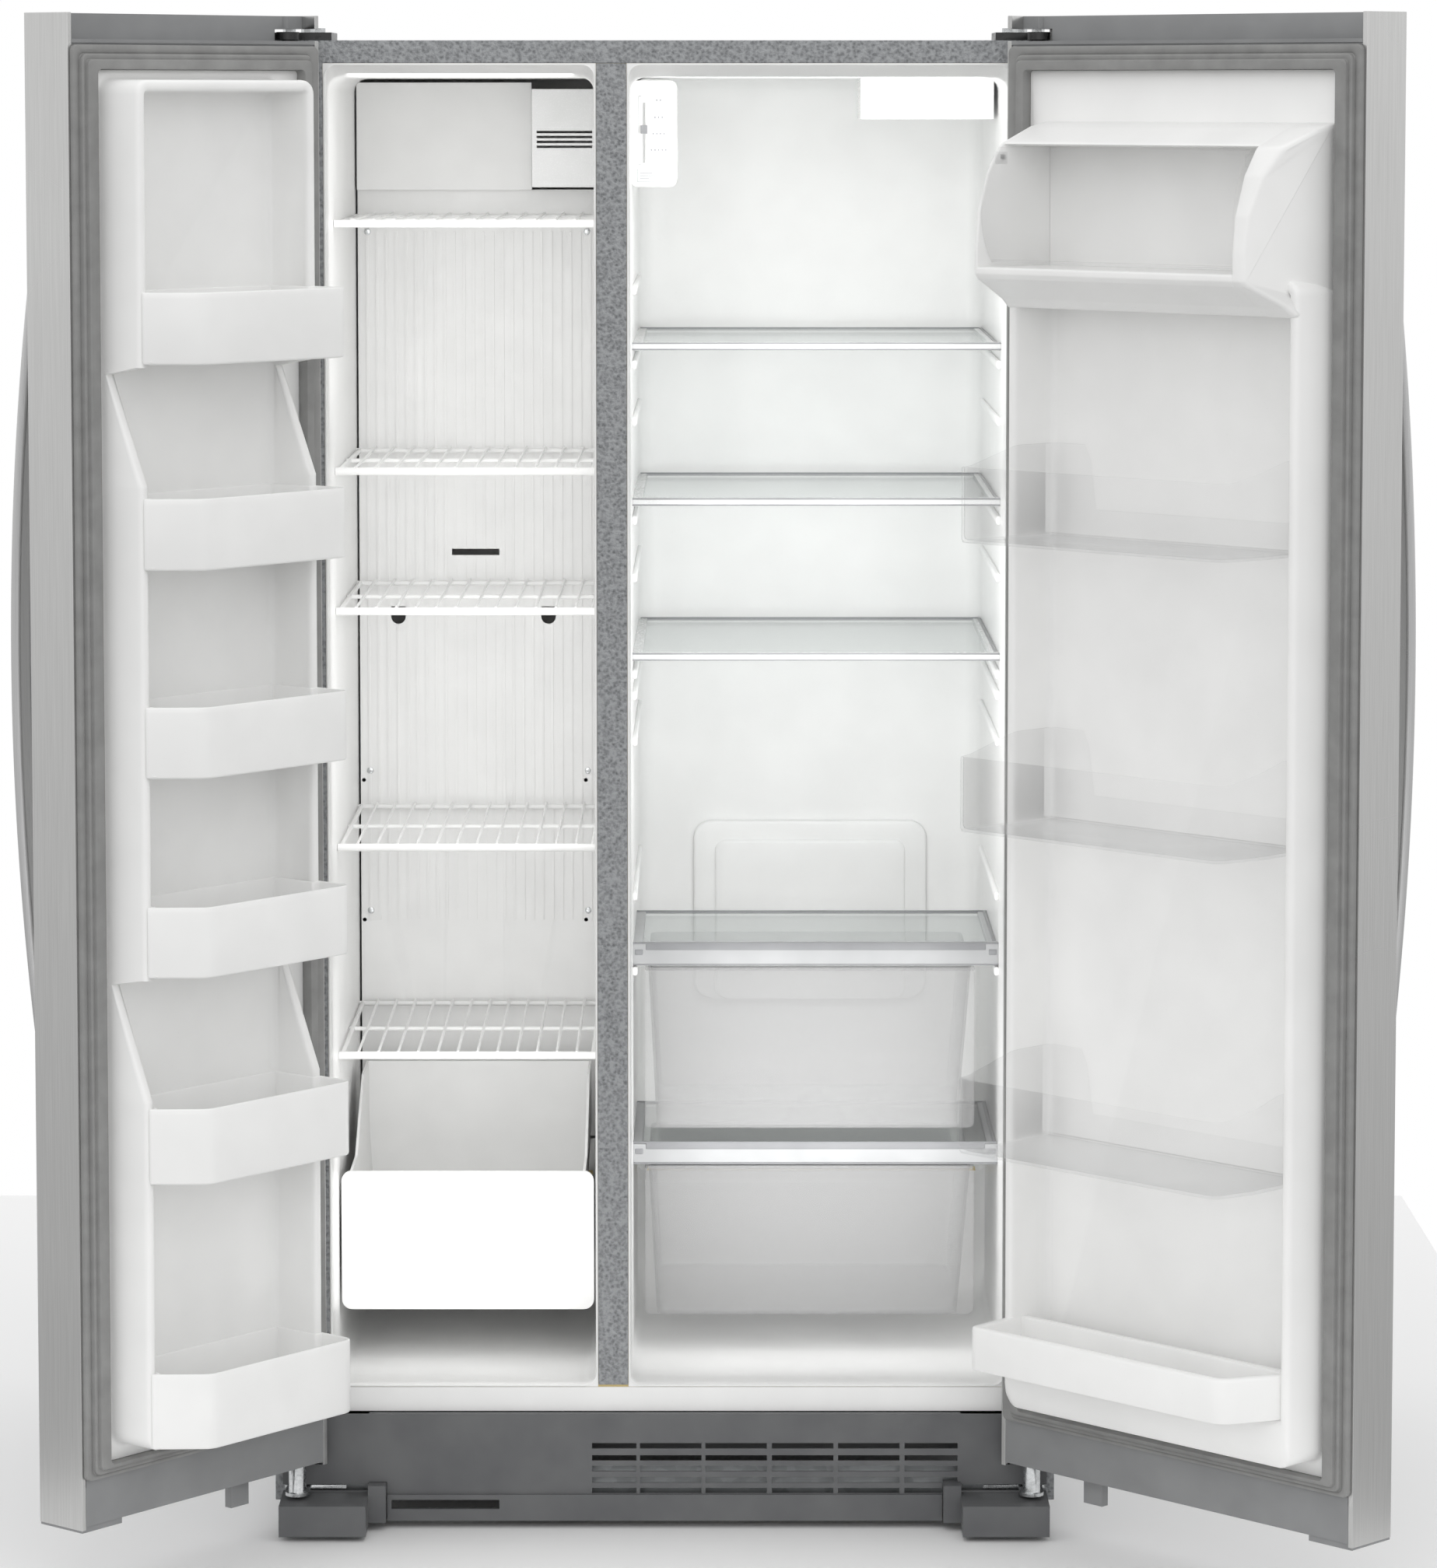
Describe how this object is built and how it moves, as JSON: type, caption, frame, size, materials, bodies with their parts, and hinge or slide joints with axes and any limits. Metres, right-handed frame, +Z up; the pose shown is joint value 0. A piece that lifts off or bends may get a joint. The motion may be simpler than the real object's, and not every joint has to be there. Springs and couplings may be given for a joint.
{
  "type": "side by side refrigerator",
  "caption": "Side by side refrigerator with both doors open: wire shelves and a basket on the left, glass shelves and clear crispers on the right, bins inside the doors, long bowed handles.",
  "frame": {"origin": "on the floor, midway between the two front levelling feet, in the plane of the cabinet's front face", "axes": "+Z up, -Y out of the front, +X to the right as seen from the front"},
  "size_m": [1.555, 1.2123, 1.759],
  "materials": {
    "textured_grey_steel": "fine leather-grain textured paint",
    "white_trim": "white moulded trim",
    "foam": "rigid insulating foam, hidden",
    "white_liner": "smooth vacuum-formed liner",
    "white_plastic": "satin moulded plastic",
    "galvanized_steel": "galvanized sheet",
    "dark_plastic": "fine-textured dark grey plastic",
    "rubber": "moulded rubber",
    "black_steel": "black enamel",
    "zinc_steel": "zinc plated",
    "motor_metal": "cast motor case",
    "copper": "drawn copper tube",
    "coil_aluminium": "bare fins and tube",
    "coated_wire": "white coated steel wire",
    "shelf_glass": "clear tempered glass",
    "clear_plastic": "clear moulded plastic",
    "stainless": "brushed stainless sheet",
    "stainless_handle": "satin stainless look",
    "gasket": "soft grey seal",
    "cap_plastic": "satin grey plastic",
    "slider_grey": "grey knob",
    "black_plastic": "moulded black plastic"
  },
  "bodies": {
    "cabinet": {"cabinet_wrapper": "textured_grey_steel", "cabinet_foam": "foam", "freezer_liner": "white_liner", "fridge_liner": "white_liner", "mullion_trim": "textured_grey_steel", "front_sill": "white_trim", "back_panel": "galvanized_steel", "machine_cover": "dark_plastic", "base_frame": "galvanized_steel", "base_grille": "dark_plastic", "hinge_covers": "dark_plastic", "leveling_feet": "rubber", "roller_brackets": "galvanized_steel", "top_hinges": "black_steel", "bottom_hinges": "zinc_steel", "hinge_bolts": "zinc_steel", "compressor": "black_steel", "condenser": "black_steel", "condenser_fan_motor": "motor_metal", "drain_pan": "dark_plastic", "refrigerant_lines": "copper", "power_inlet": "black_plastic", "evaporator": "coil_aluminium", "evaporator_cover": "white_plastic", "evaporator_fan_motor": "motor_metal", "wire_shelf_1": "coated_wire", "wire_shelf_2": "coated_wire", "wire_shelf_3": "coated_wire", "wire_shelf_4": "coated_wire", "wire_shelf_5": "coated_wire", "freezer_light_cover": "white_plastic", "shelf_frames": "white_plastic", "shelf_glass": "shelf_glass", "crisper_shelf_frames": "white_plastic", "crisper_shelf_glass": "shelf_glass", "control_housing": "white_plastic", "fridge_light_cover": "white_plastic"},
    "freezer_door": {"freezer_door_skin": "stainless", "freezer_door_foam": "foam", "freezer_door_liner": "white_liner", "freezer_door_gasket": "gasket", "freezer_door_caps": "cap_plastic", "freezer_door_handle": "stainless_handle", "freezer_door_bins": "white_liner"},
    "fridge_door": {"fridge_door_skin": "stainless", "fridge_door_foam": "foam", "fridge_door_liner": "white_liner", "fridge_door_gasket": "gasket", "fridge_door_caps": "cap_plastic", "fridge_door_handle": "stainless_handle", "fridge_door_bins": "clear_plastic"},
    "dairy_flap": {"dairy_cover": "clear_plastic"},
    "basket": {"freezer_basket": "white_plastic"},
    "upper_drawer": {"upper_crisper": "clear_plastic"},
    "lower_drawer": {"lower_crisper": "clear_plastic"},
    "condenser_rotor": {"condenser_fan": "dark_plastic"},
    "evaporator_rotor": {"evaporator_fan": "dark_plastic"},
    "left_roller": {"left_rear_roller": "rubber"},
    "right_roller": {"right_rear_roller": "rubber"},
    "slider": {"temperature_slider": "slider_grey"}
  },
  "joints": [
    {"name": "freezer_door_hinge", "type": "hinge", "parent": "cabinet", "child": "freezer_door", "pos_m": [-0.427, -0.037, 0.9], "axis": [0, 0, -1], "range_deg": [-130, 0]},
    {"name": "fridge_door_hinge", "type": "hinge", "parent": "cabinet", "child": "fridge_door", "pos_m": [0.427, -0.037, 0.9], "axis": [0, 0, 1], "range_deg": [-135, 0]},
    {"name": "dairy_flap_hinge", "type": "hinge", "parent": "fridge_door", "child": "dairy_flap", "pos_m": [0.51044, -0.26752, 1.6], "axis": [-0.7071, 0.7071, 0], "range_deg": [0, 80]},
    {"name": "basket_slide", "type": "slide", "parent": "cabinet", "child": "basket", "axis": [0, -1, 0], "range_m": [0, 0.22]},
    {"name": "upper_drawer_slide", "type": "slide", "parent": "cabinet", "child": "upper_drawer", "axis": [0, -1, 0], "range_m": [0, 0.28]},
    {"name": "lower_drawer_slide", "type": "slide", "parent": "cabinet", "child": "lower_drawer", "axis": [0, -1, 0], "range_m": [0, 0.28]},
    {"name": "condenser_fan_spin", "type": "hinge", "parent": "cabinet", "child": "condenser_rotor", "pos_m": [-0.053, 0.615, 0.15], "axis": [1, 0, 0], "continuous": true},
    {"name": "evaporator_fan_spin", "type": "hinge", "parent": "cabinet", "child": "evaporator_rotor", "pos_m": [-0.234, 0.535, 1.18], "axis": [0, 1, 0], "continuous": true},
    {"name": "left_roller_spin", "type": "hinge", "parent": "cabinet", "child": "left_roller", "pos_m": [-0.4315, 0.68, 0.022], "axis": [1, 0, 0], "continuous": true},
    {"name": "right_roller_spin", "type": "hinge", "parent": "cabinet", "child": "right_roller", "pos_m": [0.4315, 0.68, 0.022], "axis": [1, 0, 0], "continuous": true},
    {"name": "temperature_slide", "type": "slide", "parent": "cabinet", "child": "slider", "axis": [0, 0, 1], "range_m": [-0.034, 0.026]}
  ]
}
